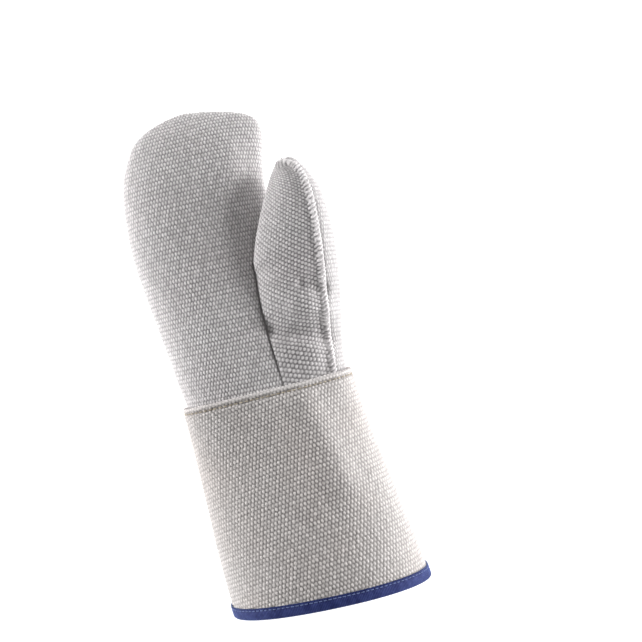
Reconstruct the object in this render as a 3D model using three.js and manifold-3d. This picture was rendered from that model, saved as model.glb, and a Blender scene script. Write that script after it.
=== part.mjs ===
// Heat resistant mitten lying palm up, millimetres.
// X runs across the hand to the thumb side, Y along it to the finger tips, Z up from the ground.
import * as THREE from 'three';
import Module from 'manifold-3d';

const wasm = await Module();
wasm.setup();

// Cloth and joints
const HAND_WALL = 3;
const CUFF_WALL = 2.4;
const JOINT_GAP = 0.3;

// Where thumb and hand part, and how far the cutting bodies lap there
const FORK_Y = 70;
const FORK_LAP = 1;

// Sizes of the cuff and its tape
const CUFF_TOP_Y = -22.3;
const CUFF_HEM_Y = -180.6;
const TOP_SKEW = -0.017;
const HEM_SKEW = -0.055;
const TAPE_THICK = 1.2;
const TAPE_HEIGHT = 7.4;
const TAPE_EDGE = 0.8;
const TAPE_EDGE_IN = 0.3;
const TAPE_FOLD_IN = 0.7;

// Points round one section, in each quarter
const HAND_STEPS = 10;
const THUMB_STEPS = 8;
const CUFF_STEPS = 11;

// How much of a rounded underside is pressed flat
const PRESSED = 1.5;

// Where the inner faces stop short of the tips, and how far they run out at the open end
const HAND_INNER_END = 190;
const THUMB_INNER_END = 134;
const OPEN_END = 4;

// Height far above the part and room round it, for the cutting bodies
const SKY = 160;
const ROOM = 30;
const PAST = 20;

// Width of cloth between a side seam and the straight part of its cut
const SIDE_LEDGE = 12;

// Thumb seam below the fork reaches down to this height
const SEAM_FOOT_Z = 34;

// Step out of the thumb's left side, for its cut
const THUMB_SIDE_STEP = 0.8;

// Columns of the section tables:
// y, left x, right x, crown x, base z, crown z, left side z, right side z,
// upper left, upper right and lower roundness (2 is an ellipse, more is squarer)
const HAND = [
  [-36, -66.4, 50.0, -2, 2.9, 57.0, 22, 22, 2.6, 2.6, 3.0],
  [-20.6, -67.1, 50.0, -2, 2.9, 57.0, 22, 22, 2.6, 2.6, 3.0],
  [-10, -68.6, 50.0, -4, 0, 56.6, 22, 22, 2.6, 2.5, 3.2],
  [4, -70.0, 49.0, -8, 0, 56.0, 22, 21, 2.5, 2.4, 3.2],
  [11, -70.6, 48.6, -9, 0, 55.5, 22, 20.5, 2.45, 2.3, 3.2],
  [18, -71.3, 48.0, -10, 0, 55.0, 22, 20, 2.4, 2.2, 3.2],
  [25, -72.0, 47.1, -11, 0, 54.7, 22, 19.5, 2.35, 2.1, 3.2],
  [32, -72.8, 46.0, -12, 0, 54.5, 22, 19, 2.3, 2.0, 3.2],
  [46, -74.1, 44.0, -14, 0, 54.0, 22, 17, 2.2, 1.8, 3.2],
  [58, -75.4, 41.5, -16, 0, 53.5, 22, 15, 2.2, 1.65, 3.2],
  [70, -76.5, 39.2, -18, 0, 53.0, 22, 14, 2.2, 1.5, 3.2],
  [86, -77.7, 36.2, -20, 0, 52.4, 22, 13, 2.2, 1.4, 3.2],
  [95, -78.0, 34.9, -22, 0, 51.9, 22, 13, 2.2, 1.38, 3.2],
  [104, -77.9, 33.6, -22, 0, 51.0, 22, 13, 2.2, 1.42, 3.2],
  [114, -77.4, 32.6, -22, 0, 50.0, 22, 14, 2.2, 1.5, 3.2],
  [124, -76.6, 32.5, -21, 0, 48.5, 21, 15, 2.2, 1.7, 3.2],
  [134, -75.3, 33.6, -20, 0, 46.5, 21, 16, 2.2, 2.0, 3.2],
  [144, -73.5, 35.4, -19, 0, 44.5, 20, 17, 2.2, 2.1, 3.2],
  [153, -71.1, 37.8, -18, 0, 42.0, 20, 17, 2.2, 2.2, 3.2],
  [160, -68.5, 39.8, -17, 0, 39.8, 19, 17, 2.2, 2.2, 3.0],
  [166, -65.5, 40.7, -16, 0, 37.6, 19, 17, 2.2, 2.2, 2.8],
  [171.5, -62.3, 40.2, -16, 0, 35.4, 18.4, 16.6, 2.2, 2.2, 2.7],
  [176.5, -59.4, 38.0, -16, 0.2, 33.0, 17.6, 16, 2.2, 2.2, 2.5],
  [181, -55.4, 33.6, -16, 1.0, 30.4, 16.8, 15.4, 2.2, 2.2, 2.4],
  [185, -50.0, 26.0, -16, 2.4, 27.6, 16, 15, 2.2, 2.2, 2.3],
  [188.4, -43.4, 15.6, -16, 4.4, 24.8, 15.4, 14.6, 2.2, 2.2, 2.2],
  [191, -36.2, 6.2, -16, 6.6, 22.0, 14.8, 14.4, 2.1, 2.1, 2.1],
  [193, -28.0, -3.6, -16, 9.2, 19.2, 14.4, 14.2, 2.0, 2.0, 2.0],
  [194.2, -21.0, -11.6, -16, 11.6, 16.8, 14.2, 14.2, 2.0, 2.0, 2.0],
];

const THUMB = [
  [-36, 4, 55.2, 18, 2.9, 57.0, 22, 22, 2.6, 2.6, 2.9],
  [-20.6, 4, 56.0, 18, 2.9, 57.2, 22, 22, 2.6, 2.6, 2.9],
  [-10, 4, 57.2, 23, 0, 58.2, 24, 24, 2.5, 2.4, 3.0],
  [4, 4, 59.7, 29, 0, 60.2, 26, 26, 2.4, 2.3, 3.0],
  [11, 4, 61.3, 32, 0, 61.2, 27, 27, 2.35, 2.25, 2.9],
  [18, 4, 63.0, 35, 0, 62.3, 28, 28, 2.3, 2.2, 2.8],
  [25, 4, 64.6, 38, 0.2, 63.5, 29.5, 30, 2.22, 2.15, 2.7],
  [32, 4, 66.2, 41, 0.4, 64.7, 31, 32, 2.15, 2.1, 2.6],
  [46, 4, 68.8, 46, 2, 67.4, 35, 35, 2.0, 2.1, 2.4],
  [58, 4, 70.6, 49.5, 5, 69.6, 40, 38, 1.85, 2.1, 2.3],
  [70, 9.8, 71.8, 52, 11, 71.4, 50.5, 41, 1.7, 2.1, 2.2],
  [82, 13.9, 72.5, 53.5, 18.3, 72.4, 49.8, 44, 1.65, 2.1, 2.2],
  [94, 19.2, 72.4, 55, 24, 72.6, 49.2, 46, 1.65, 2.1, 2.2],
  [104, 24.2, 71.8, 55.6, 26.4, 71.8, 48.8, 47, 1.65, 2.1, 2.2],
  [112, 28.8, 70.4, 55.6, 28, 70.2, 48.4, 47.5, 1.7, 2.1, 2.2],
  [118.5, 32.2, 68.0, 55.2, 29.4, 68.0, 48, 47.5, 1.75, 2.1, 2.2],
  [124, 35.4, 65.8, 54.8, 31, 65.2, 47.4, 47.2, 1.8, 2.1, 2.1],
  [128.4, 38.2, 63.6, 54, 33, 62.2, 47, 46.8, 1.85, 2.1, 2.1],
  [132, 40.9, 61.0, 52.8, 35.6, 59.0, 46.6, 46.6, 1.9, 2.0, 2.0],
  [134.8, 42.8, 59.4, 51.6, 38.8, 55.2, 46.4, 46.4, 1.9, 2.0, 2.0],
  [136.6, 43.9, 57.4, 51, 41.6, 51.6, 46.4, 46.4, 2.0, 2.0, 2.0],
  [137.8, 45.6, 55.2, 50.6, 44.2, 48.8, 46.4, 46.4, 2.0, 2.0, 2.0],
];

const CUFF = [
  [0, -70.2, 58.9, 8, 0, 60.4, 23.5, 23.5, 3.2, 3.2, 4.0],
  [0.087, -70.3, 59.8, 7.4, 0, 61.1, 24.4, 24.4, 3.03, 3.03, 3.6],
  [0.15, -70.4, 60.4, 7, 0, 61.6, 25, 25, 2.9, 2.9, 3.3],
  [0.3, -70.7, 62.2, 6, 0, 64.4, 27, 27, 2.5, 2.5, 3.1],
  [0.5, -71.2, 66.4, 5, 0, 70.0, 31, 31, 2.35, 2.35, 2.9],
  [0.7, -71.7, 70.6, 4, 0, 76.0, 34, 34, 2.25, 2.25, 2.8],
  [0.88, -71.4, 73.8, 3, 0, 81.0, 37, 37, 2.2, 2.2, 2.7],
  [0.935, -70.8, 74.6, 3, 1.5, 82.0, 38, 38, 2.2, 2.2, 2.65],
  [1, -70.2, 75.4, 3, 1.5, 83.4, 39, 39, 2.2, 2.2, 2.6],
];

// Cloth edge profiles of the cuff: distance from the top edge, growth outward
const CUFF_TOP_PROFILE = [
  [0, -0.9],
  [0.9, -0.15],
  [2.2, 0],
  [3.6, -0.5],
  [5, 0],
];

// Dents of the upper faces: x, y, radius along x, radius along y, depth
const DENTS = [
  [26, 138, 11, 30, 3.2],
  [-14, 120, 18, 30, 1.6],
];

// Folds along a line: start x, start y, end x, end y, width on the left of the way, width on
// its right, depth (below zero for a crest)
const FOLDS = [
  [11.7, 17.3, 48.0, 1.5, 11, 5, 5.6],
  [30.0, 30.0, 52.0, 21.0, 8, 7, -2.4],
  [40.0, 45.3, 55.0, 37.5, 6, 6, 3.2],
  [17.1, -35.4, 33.9, -97.8, 15, 27, -6.5],
  [18.0, -106.0, 46.0, -96.0, 10, 11, 2.2],
];
// Length of a fold's run-out as a share of it, and how fast dents and folds come in above the
// side seams
const FOLD_FADE = 0.25;
const SIDE_FADE = 1.6;

// Seam between the palm panel and the thumb panel below the fork, seen from above: y, x
const PALM_SEAM = [
  [-36, 7.6], [-20.6, 7.8], [-10, 7.4], [4, 6.7], [18, 6.3], [32, 6.3], [46, 6.9], [58, 8.2],
  [70, 9.5],
];
// Shares of a quarter's width between which the seam gets a line of points of its own
const SEAM_FIRST = 0.02;
const SEAM_LAST = 0.999;

// Ridged seam between the thumb panel and the back panel, seen from above: y, x
const RIDGE = [
  [-36, 47.8], [-20.6, 49.0], [-10, 50.2], [4, 51.8], [18, 54.2], [32, 56.6], [46, 58.9],
  [58, 60.9], [70, 62.6], [82, 63.8], [94, 64.8], [104, 65.3], [112, 64.9], [118.5, 63.8],
  [124, 62.2], [128.4, 60.4], [132, 58.2], [134.8, 56.0], [136.6, 53.8], [137.8, 51.8],
];

// The cut at the ridged seam: its lean from level and its reach to either side
const RIDGE_LEAN = 0.72;
const RIDGE_INWARD = 9;
const RIDGE_OUTWARD = 20;
const RIDGE_SHARE = 0.3;
const RIDGE_LIFT = 1.3;

// Looks
const HAND_CLOTH = { color: 0xdedcd6, roughness: 0.95, metalness: 0 };
const CUFF_CLOTH = { color: 0xe2dcd2, roughness: 0.95, metalness: 0 };
const HEM_TAPE = { color: 0x3c50a0, roughness: 0.7, metalness: 0 };

// A table read at any place along its first column, straight between rows
function row(table, at) {
  let i = 0;
  while (i < table.length - 2 && at > table[i + 1][0]) i += 1;
  const low = table[i];
  const high = table[i + 1];
  const t = Math.min(1, Math.max(0, (at - low[0]) / (high[0] - low[0])));
  return low.map((value, k) => value + (high[k] - value) * t);
}

// Sinking of the upper face at a place, faded out towards the side seams
function dent(x, y, share) {
  let sum = 0;
  for (const [cx, cy, rx, ry, depth] of DENTS) {
    sum += depth * Math.exp(-(((x - cx) / rx) ** 2) - ((y - cy) / ry) ** 2);
  }
  for (const [x0, y0, x1, y1, left, right, depth] of FOLDS) {
    const length = Math.hypot(x1 - x0, y1 - y0);
    const alongX = (x1 - x0) / length;
    const alongY = (y1 - y0) / length;
    const forward = (x - x0) * alongX + (y - y0) * alongY;
    const aside = (y - y0) * alongX - (x - x0) * alongY;
    const past = Math.max(0, -forward, forward - length) / (FOLD_FADE * length);
    sum += depth * Math.exp(-((aside / (aside > 0 ? left : right)) ** 2) - past ** 2);
  }
  const fade = Math.min(1, Math.max(0, share * SIDE_FADE));
  return sum * fade * fade * (3 - 2 * fade);
}

// Places round one quarter from its side to its crown; where the palm seam crosses the
// quarter, one of the places is moved onto it
function spread(steps, across, power, turned) {
  const index = turned ? 1 : steps - 2;
  const crossed = across > SEAM_FIRST && across < SEAM_LAST;
  const knot = crossed ? Math.acos(across ** (power / 2)) / (Math.PI / 2) : index / steps;
  return Array.from({ length: steps + 1 }, (_, i) => (
    i <= index ? knot * i / index : knot + (1 - knot) * (i - index) / (steps - index)
  ));
}

// One closed section: four rounded quarters about the crown, grown by some amount outward.
// The underside is pressed flat at its base.
function section(r, grow, steps, seamed) {
  const [y, left, right, crown, base, top, leftZ, rightZ, upLeft, upRight, low] = r;
  const points = [];
  const quarters = [
    [right + grow - crown, rightZ, top + grow - rightZ, upRight, 0],
    [left - grow - crown, leftZ, top + grow - leftZ, upLeft, 1],
    [left - grow - crown, leftZ, base - grow - PRESSED - leftZ, low, 0],
    [right + grow - crown, rightZ, base - grow - PRESSED - rightZ, low, 1],
  ];
  quarters.forEach(([reach, mid, rise, power, turned], quarter) => {
    const across = quarter === seamed ? (row(PALM_SEAM, y)[1] - crown) / reach : 0;
    const places = spread(steps, across, power, turned);
    for (let i = 0; i < steps; i += 1) {
      const share = turned ? places[steps - i] : places[i];
      const angle = share * Math.PI / 2;
      const up = Math.sin(angle) ** (2 / power);
      const x = crown + reach * Math.max(0, Math.cos(angle)) ** (2 / power);
      const sunk = rise > 0 ? dent(x, y, up) : 0;
      const z = mid + rise * up - sunk;
      points.push([x, y, Math.max(base - grow, z)]);
    }
  });
  return points;
}

// Closed body through a row of sections with equal numbers of points
function loft(rings) {
  const count = rings[0].length;
  const vertices = [];
  const faces = [];
  rings.forEach((ring) => ring.forEach((p) => vertices.push(...p)));
  for (let s = 0; s < rings.length - 1; s += 1) {
    for (let i = 0; i < count; i += 1) {
      const a = s * count + i;
      const b = s * count + (i + 1) % count;
      const c = a + count;
      const d = b + count;
      faces.push(a, c, b, b, c, d);
    }
  }
  [0, rings.length - 1].forEach((s) => {
    const centre = [0, 1, 2].map((k) => rings[s].reduce((sum, p) => sum + p[k], 0) / count);
    const hub = vertices.length / 3;
    vertices.push(...centre);
    for (let i = 0; i < count; i += 1) {
      const a = s * count + i;
      const b = s * count + (i + 1) % count;
      if (s === 0) faces.push(hub, a, b);
      else faces.push(hub, b, a);
    }
  });
  return solid(vertices, faces);
}

function solid(vertices, faces) {
  const make = (order) => new wasm.Manifold(new wasm.Mesh({
    numProp: 3,
    vertProperties: Float32Array.from(vertices),
    triVerts: Uint32Array.from(order),
  }));
  const body = make(faces);
  if (body.volume() > 0) return body;
  const turned = [];
  for (let i = 0; i < faces.length; i += 3) turned.push(faces[i], faces[i + 2], faces[i + 1]);
  return make(turned);
}

// Prism-like body with one outline of X and Z per station along Y
function sweep(stations) {
  return loft(stations.map(([y, outline]) => outline.map(([x, z]) => [x, y, z])));
}

// Height of the upper face of a section at x
function upperZ(r, x) {
  const [, left, right, crown, , top, leftZ, rightZ, upLeft, upRight] = r;
  const side = x < crown ? [left, leftZ, upLeft] : [right, rightZ, upRight];
  const u = Math.min(1, Math.abs((x - crown) / (side[0] - crown)));
  return side[1] + (top - side[1]) * (1 - u ** side[2]) ** (1 / side[2]);
}

// Below the fork the thumb's left side is led so that its face passes through the palm seam
const thumbRows = THUMB.map((r) => {
  if (r[0] >= FORK_Y) return r;
  const [y, , , crown, , top, leftZ, , power] = r;
  const seamX = row(PALM_SEAM, y)[1];
  const seamZ = upperZ(row(HAND, y), seamX);
  const share = (seamZ - leftZ) / (top - leftZ);
  const reach = (crown - seamX) / (1 - share ** power) ** (1 / power);
  const copy = [...r];
  copy[1] = crown - reach;
  return copy;
});

// Hand and thumb, outside and inside
function outside(rows, steps, grow, seamed) {
  const last = rows.length - 1;
  const rings = rows.map((r, i) => {
    const lead = i === last ? grow : 0;
    return section(r, grow, steps, seamed).map(([x, y, z]) => [x, y + lead, z]);
  });
  return loft(rings);
}

// Inner sections stop short of the tips, where they would close on themselves
function inside(rows, steps, tips, seamed) {
  const rings = rows.filter((r) => r[0] < tips).map((r, i) => {
    const lead = i === 0 ? -OPEN_END : 0;
    return section(r, -HAND_WALL, steps, seamed).map(([x, y, z]) => [x, y + lead, z]);
  });
  return loft(rings);
}

const hand = outside(HAND, HAND_STEPS, 0, 0);
const thumb = outside(thumbRows, THUMB_STEPS, 0, 1);
const handHollow = inside(HAND, HAND_STEPS, HAND_INNER_END, 0);
const thumbHollow = inside(thumbRows, THUMB_STEPS, THUMB_INNER_END, 1);
const hollow = handHollow.add(thumbHollow);
const shell = hand.add(thumb).subtract(hollow);

// Cutting bodies over the palm panel, below the fork and from the fork to the tips
function palmCuts(shift) {
  const below = HAND.map((r) => {
    const [y, left, right, , , , leftZ, rightZ] = r;
    return [y, left, right, leftZ + shift, rightZ + shift];
  });
  const outline = (left, leftZ, right, rightZ) => [
    [left - ROOM, SKY], [left - ROOM, leftZ], [left + SIDE_LEDGE, leftZ],
    [right - SIDE_LEDGE, rightZ], [right, rightZ], [right, SKY],
  ];
  const lower = below.filter((r) => r[0] <= FORK_Y).map(([y, left, , leftZ, rightZ]) => [
    y < FORK_Y ? y : FORK_Y + FORK_LAP,
    outline(left, leftZ, row(PALM_SEAM, y)[1] - shift, rightZ),
  ]);
  lower.unshift([HAND[0][0] - PAST, lower[0][1]]);
  const upper = below.filter((r) => r[0] > FORK_Y).map(([y, left, right, leftZ, rightZ]) => [
    y, outline(left, leftZ, right + ROOM, rightZ),
  ]);
  upper.unshift([FORK_Y + shift, upper[0][1]]);
  const tip = upper[upper.length - 1];
  upper.push([tip[0] + PAST, tip[1]]);
  return [sweep(lower), sweep(upper)];
}

// Cutting body over the thumb panel
function thumbCut(shift) {
  const stations = thumbRows.map((r) => {
    const [y, left, , , , , leftZ] = r;
    const ridgeX = row(RIDGE, y)[1];
    const ridgeZ = upperZ(r, ridgeX);
    const lower = y < FORK_Y;
    const edgeX = lower ? row(PALM_SEAM, y)[1] + shift : left - THUMB_SIDE_STEP;
    const edgeZ = (lower ? SEAM_FOOT_Z : leftZ) + shift;
    const inward = Math.min(RIDGE_INWARD, (ridgeX - left) * RIDGE_SHARE);
    const cut = [-inward, RIDGE_OUTWARD].map((d) => [
      ridgeX + d * Math.cos(RIDGE_LEAN),
      ridgeZ + d * Math.sin(RIDGE_LEAN) + shift * RIDGE_LIFT,
    ]);
    return [y, [[edgeX, SKY], [edgeX, edgeZ], cut[0], cut[1], [cut[1][0], SKY]]];
  });
  stations.unshift([HAND[0][0] - PAST, stations[0][1]]);
  const tip = stations[stations.length - 1];
  stations.push([tip[0] + PAST, tip[1]]);
  return sweep(stations);
}

const half = JOINT_GAP / 2;
const freeThumb = thumbRows.filter((r) => r[0] >= FORK_Y);
const thumbRoom = outside(freeThumb, THUMB_STEPS, JOINT_GAP, 1).add(thumbCut(-half));
const [palmBelow, palmAbove] = palmCuts(half);
const [roomBelow, roomAbove] = palmCuts(-half);
const palmPanel = hand.subtract(handHollow).intersect(palmBelow.add(palmAbove))
  .subtract(thumbRoom);
const thumbPanel = thumb.subtract(hollow).intersect(thumbCut(half));
const backPanel = shell.subtract(roomBelow).subtract(roomAbove.subtract(thumb))
  .subtract(thumbCut(-half));

// Cuff sections, leaning with the skew of its two ends
function cuffRing(share, grow, shift) {
  const r = row(CUFF, share);
  const y = CUFF_TOP_Y + (CUFF_HEM_Y - CUFF_TOP_Y) * share;
  const skew = TOP_SKEW + (HEM_SKEW - TOP_SKEW) * share;
  const ring = section([y, ...r.slice(1)], grow, CUFF_STEPS);
  return ring.map(([x, , z]) => [x, y + skew * x + shift, z]);
}

const cuffLength = CUFF_TOP_Y - CUFF_HEM_Y;
const cuffShares = CUFF.map((r) => r[0]);

function cuffOutside() {
  const rings = CUFF_TOP_PROFILE.map(([down, grow]) => (
    cuffRing(down / cuffLength, grow, 0)
  ));
  const rest = cuffShares.filter((share) => share > 0).map((share) => cuffRing(share, 0, 0));
  return loft([...rings, ...rest]);
}

// Layer of the cuff wall between its two ends and some way past them
function cuffLayer(grow, over) {
  const rings = cuffShares.map((share) => cuffRing(share, grow, 0));
  rings.unshift(cuffRing(0, grow, over));
  rings.push(cuffRing(1, grow, -over));
  return loft(rings);
}

const cuff = cuffOutside().subtract(cuffLayer(-CUFF_WALL, PAST));

// Tape folded round the hem
function tapeBody(grow, from, to) {
  const start = 1 - TAPE_HEIGHT / cuffLength;
  return loft([
    cuffRing(start, grow, from),
    cuffRing(start, grow, 0),
    cuffRing(1, grow, 0),
    cuffRing(1, grow, to),
  ]);
}

const outerGrow = JOINT_GAP + TAPE_THICK;
const tapeOutside = loft([
  cuffRing(1 - TAPE_HEIGHT / cuffLength, outerGrow - TAPE_EDGE_IN, 0),
  cuffRing(1 - (TAPE_HEIGHT - TAPE_EDGE) / cuffLength, outerGrow, 0),
  cuffRing(1, outerGrow, 0),
  cuffRing(1, outerGrow - TAPE_FOLD_IN, -outerGrow),
]);
const innerGrow = -CUFF_WALL - JOINT_GAP;
const tapeHole = tapeBody(innerGrow - TAPE_THICK, PAST, -PAST);
const slotOutside = tapeBody(JOINT_GAP, PAST, -JOINT_GAP);
const slotInside = tapeBody(innerGrow, ROOM, -PAST);
const tape = tapeOutside.subtract(tapeHole).subtract(slotOutside.subtract(slotInside));

function largest(body) {
  return body.decompose().sort((a, b) => b.volume() - a.volume())[0];
}

// Shift that puts the middle of the finished part over the origin
function middle(bodies) {
  const boxes = bodies.map((body) => body.boundingBox());
  return [0, 1].map((k) => {
    const low = Math.min(...boxes.map((box) => box.min[k]));
    const high = Math.max(...boxes.map((box) => box.max[k]));
    return (low + high) / 2;
  });
}

function mesh(name, body, look) {
  const data = body.getMesh();
  const stride = data.numProp;
  const count = data.vertProperties.length / stride;
  const positions = new Float32Array(count * 3);
  for (let i = 0; i < count; i += 1) {
    for (let k = 0; k < 3; k += 1) {
      positions[i * 3 + k] = data.vertProperties[i * stride + k] - (centre[k] || 0);
    }
  }
  const geometry = new THREE.BufferGeometry();
  geometry.setAttribute('position', new THREE.BufferAttribute(positions, 3));
  geometry.setIndex(new THREE.BufferAttribute(new Uint32Array(data.triVerts), 1));
  geometry.computeVertexNormals();
  const result = new THREE.Mesh(geometry, new THREE.MeshStandardMaterial(look));
  result.name = name;
  return result;
}

const pieces = [
  ['palm_panel', largest(palmPanel), HAND_CLOTH],
  ['thumb_panel', largest(thumbPanel), HAND_CLOTH],
  ['back_panel', largest(backPanel), HAND_CLOTH],
  ['cuff', largest(cuff), CUFF_CLOTH],
  ['hem_binding', largest(tape), HEM_TAPE],
];
const centre = middle(pieces.map(([, body]) => body));
const mitten = new THREE.Group();
mitten.name = 'heat_resistant_mitten';
pieces.forEach(([name, body, look]) => mitten.add(mesh(name, body, look)));

export default mitten;
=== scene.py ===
import math

import bmesh
import bpy
import numpy as np
from mathutils import Matrix, Vector


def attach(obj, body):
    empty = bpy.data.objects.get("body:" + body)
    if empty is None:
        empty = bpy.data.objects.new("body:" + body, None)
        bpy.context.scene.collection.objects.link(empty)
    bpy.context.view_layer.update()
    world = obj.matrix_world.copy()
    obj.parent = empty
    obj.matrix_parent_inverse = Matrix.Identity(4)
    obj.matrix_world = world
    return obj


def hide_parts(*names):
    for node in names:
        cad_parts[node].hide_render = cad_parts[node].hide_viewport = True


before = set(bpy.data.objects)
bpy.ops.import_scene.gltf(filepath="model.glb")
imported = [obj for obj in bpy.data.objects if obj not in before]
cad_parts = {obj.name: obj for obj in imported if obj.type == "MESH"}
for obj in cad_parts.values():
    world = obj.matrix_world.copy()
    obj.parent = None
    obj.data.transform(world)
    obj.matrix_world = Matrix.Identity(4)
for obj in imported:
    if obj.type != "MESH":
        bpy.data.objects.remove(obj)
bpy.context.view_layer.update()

# Everything below is in millimetres in the frame of the tables; place() turns it into metres
# about the middle of the part.
MIDDLE = np.array([-0.546, 3.955, 0.0])
CUFF_WALL = 2.4
FORK_Y = 70.0
CUFF_TOP_Y = -22.3
CUFF_HEM_Y = -180.6
TOP_SKEW = -0.017
HEM_SKEW = -0.055
# How far the underside is pressed flat against the floor
PRESSED = 1.5
# Share of a fold's length over which it runs out past its ends, and how soon dents and folds
# run out towards the sides of a section
FOLD_END = 0.25
SIDE_FADE = 1.6
# Points of one quarter of a section
QUARTER_POINTS = 150
# Grain lines, where the weave is counted from: hand and cuff by x, thumb by the distance from
# its ridged seam
HAND_GRAIN_X = -16
CUFF_GRAIN_X = 0
THUMB_GRAIN_GAP = 20
TINY = 1e-9

# Columns of the section tables:
# y (share of the length for the cuff), left x, right x, crown x, base z, crown z,
# left side z, right side z, upper left, upper right and lower roundness
HAND = [
    [-36, -66.4, 50.0, -2, 2.9, 57.0, 22, 22, 2.6, 2.6, 3.0],
    [-20.6, -67.1, 50.0, -2, 2.9, 57.0, 22, 22, 2.6, 2.6, 3.0],
    [-10, -68.6, 50.0, -4, 0, 56.6, 22, 22, 2.6, 2.5, 3.2],
    [4, -70.0, 49.0, -8, 0, 56.0, 22, 21, 2.5, 2.4, 3.2],
    [11, -70.6, 48.6, -9, 0, 55.5, 22, 20.5, 2.45, 2.3, 3.2],
    [18, -71.3, 48.0, -10, 0, 55.0, 22, 20, 2.4, 2.2, 3.2],
    [25, -72.0, 47.1, -11, 0, 54.7, 22, 19.5, 2.35, 2.1, 3.2],
    [32, -72.8, 46.0, -12, 0, 54.5, 22, 19, 2.3, 2.0, 3.2],
    [46, -74.1, 44.0, -14, 0, 54.0, 22, 17, 2.2, 1.8, 3.2],
    [58, -75.4, 41.5, -16, 0, 53.5, 22, 15, 2.2, 1.65, 3.2],
    [70, -76.5, 39.2, -18, 0, 53.0, 22, 14, 2.2, 1.5, 3.2],
    [86, -77.7, 36.2, -20, 0, 52.4, 22, 13, 2.2, 1.4, 3.2],
    [95, -78.0, 34.9, -22, 0, 51.9, 22, 13, 2.2, 1.38, 3.2],
    [104, -77.9, 33.6, -22, 0, 51.0, 22, 13, 2.2, 1.42, 3.2],
    [114, -77.4, 32.6, -22, 0, 50.0, 22, 14, 2.2, 1.5, 3.2],
    [124, -76.6, 32.5, -21, 0, 48.5, 21, 15, 2.2, 1.7, 3.2],
    [134, -75.3, 33.6, -20, 0, 46.5, 21, 16, 2.2, 2.0, 3.2],
    [144, -73.5, 35.4, -19, 0, 44.5, 20, 17, 2.2, 2.1, 3.2],
    [153, -71.1, 37.8, -18, 0, 42.0, 20, 17, 2.2, 2.2, 3.2],
    [160, -68.5, 39.8, -17, 0, 39.8, 19, 17, 2.2, 2.2, 3.0],
    [166, -65.5, 40.7, -16, 0, 37.6, 19, 17, 2.2, 2.2, 2.8],
    [171.5, -62.3, 40.2, -16, 0, 35.4, 18.4, 16.6, 2.2, 2.2, 2.7],
    [176.5, -59.4, 38.0, -16, 0.2, 33.0, 17.6, 16, 2.2, 2.2, 2.5],
    [181, -55.4, 33.6, -16, 1.0, 30.4, 16.8, 15.4, 2.2, 2.2, 2.4],
    [185, -50.0, 26.0, -16, 2.4, 27.6, 16, 15, 2.2, 2.2, 2.3],
    [188.4, -43.4, 15.6, -16, 4.4, 24.8, 15.4, 14.6, 2.2, 2.2, 2.2],
    [191, -36.2, 6.2, -16, 6.6, 22.0, 14.8, 14.4, 2.1, 2.1, 2.1],
    [193, -28.0, -3.6, -16, 9.2, 19.2, 14.4, 14.2, 2.0, 2.0, 2.0],
    [194.2, -21.0, -11.6, -16, 11.6, 16.8, 14.2, 14.2, 2.0, 2.0, 2.0],
    [194.5, -16.4, -15.6, -16, 14.0, 14.4, 14.2, 14.2, 2.0, 2.0, 2.0],
]
THUMB = [
    [-36, 4, 55.2, 18, 2.9, 57.0, 22, 22, 2.6, 2.6, 2.9],
    [-20.6, 4, 56.0, 18, 2.9, 57.2, 22, 22, 2.6, 2.6, 2.9],
    [-10, 4, 57.2, 23, 0, 58.2, 24, 24, 2.5, 2.4, 3.0],
    [4, 4, 59.7, 29, 0, 60.2, 26, 26, 2.4, 2.3, 3.0],
    [11, 4, 61.3, 32, 0, 61.2, 27, 27, 2.35, 2.25, 2.9],
    [18, 4, 63.0, 35, 0, 62.3, 28, 28, 2.3, 2.2, 2.8],
    [25, 4, 64.6, 38, 0.2, 63.5, 29.5, 30, 2.22, 2.15, 2.7],
    [32, 4, 66.2, 41, 0.4, 64.7, 31, 32, 2.15, 2.1, 2.6],
    [46, 4, 68.8, 46, 2, 67.4, 35, 35, 2.0, 2.1, 2.4],
    [58, 4, 70.6, 49.5, 5, 69.6, 40, 38, 1.85, 2.1, 2.3],
    [70, 9.8, 71.8, 52, 11, 71.4, 50.5, 41, 1.7, 2.1, 2.2],
    [82, 13.9, 72.5, 53.5, 18.3, 72.4, 49.8, 44, 1.65, 2.1, 2.2],
    [94, 19.2, 72.4, 55, 24, 72.6, 49.2, 46, 1.65, 2.1, 2.2],
    [104, 24.2, 71.8, 55.6, 26.4, 71.8, 48.8, 47, 1.65, 2.1, 2.2],
    [112, 28.8, 70.4, 55.6, 28, 70.2, 48.4, 47.5, 1.7, 2.1, 2.2],
    [118.5, 32.2, 68.0, 55.2, 29.4, 68.0, 48, 47.5, 1.75, 2.1, 2.2],
    [124, 35.4, 65.8, 54.8, 31, 65.2, 47.4, 47.2, 1.8, 2.1, 2.1],
    [128.4, 38.2, 63.6, 54, 33, 62.2, 47, 46.8, 1.85, 2.1, 2.1],
    [132, 40.9, 61.0, 52.8, 35.6, 59.0, 46.6, 46.6, 1.9, 2.0, 2.0],
    [134.8, 42.8, 59.4, 51.6, 38.8, 55.2, 46.4, 46.4, 1.9, 2.0, 2.0],
    [136.6, 43.9, 57.4, 51, 41.6, 51.6, 46.4, 46.4, 2.0, 2.0, 2.0],
    [137.8, 45.6, 55.2, 50.6, 44.2, 48.8, 46.4, 46.4, 2.0, 2.0, 2.0],
    [138.2, 49.0, 51.8, 50.4, 46.2, 46.6, 46.4, 46.4, 2.0, 2.0, 2.0],
]
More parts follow.
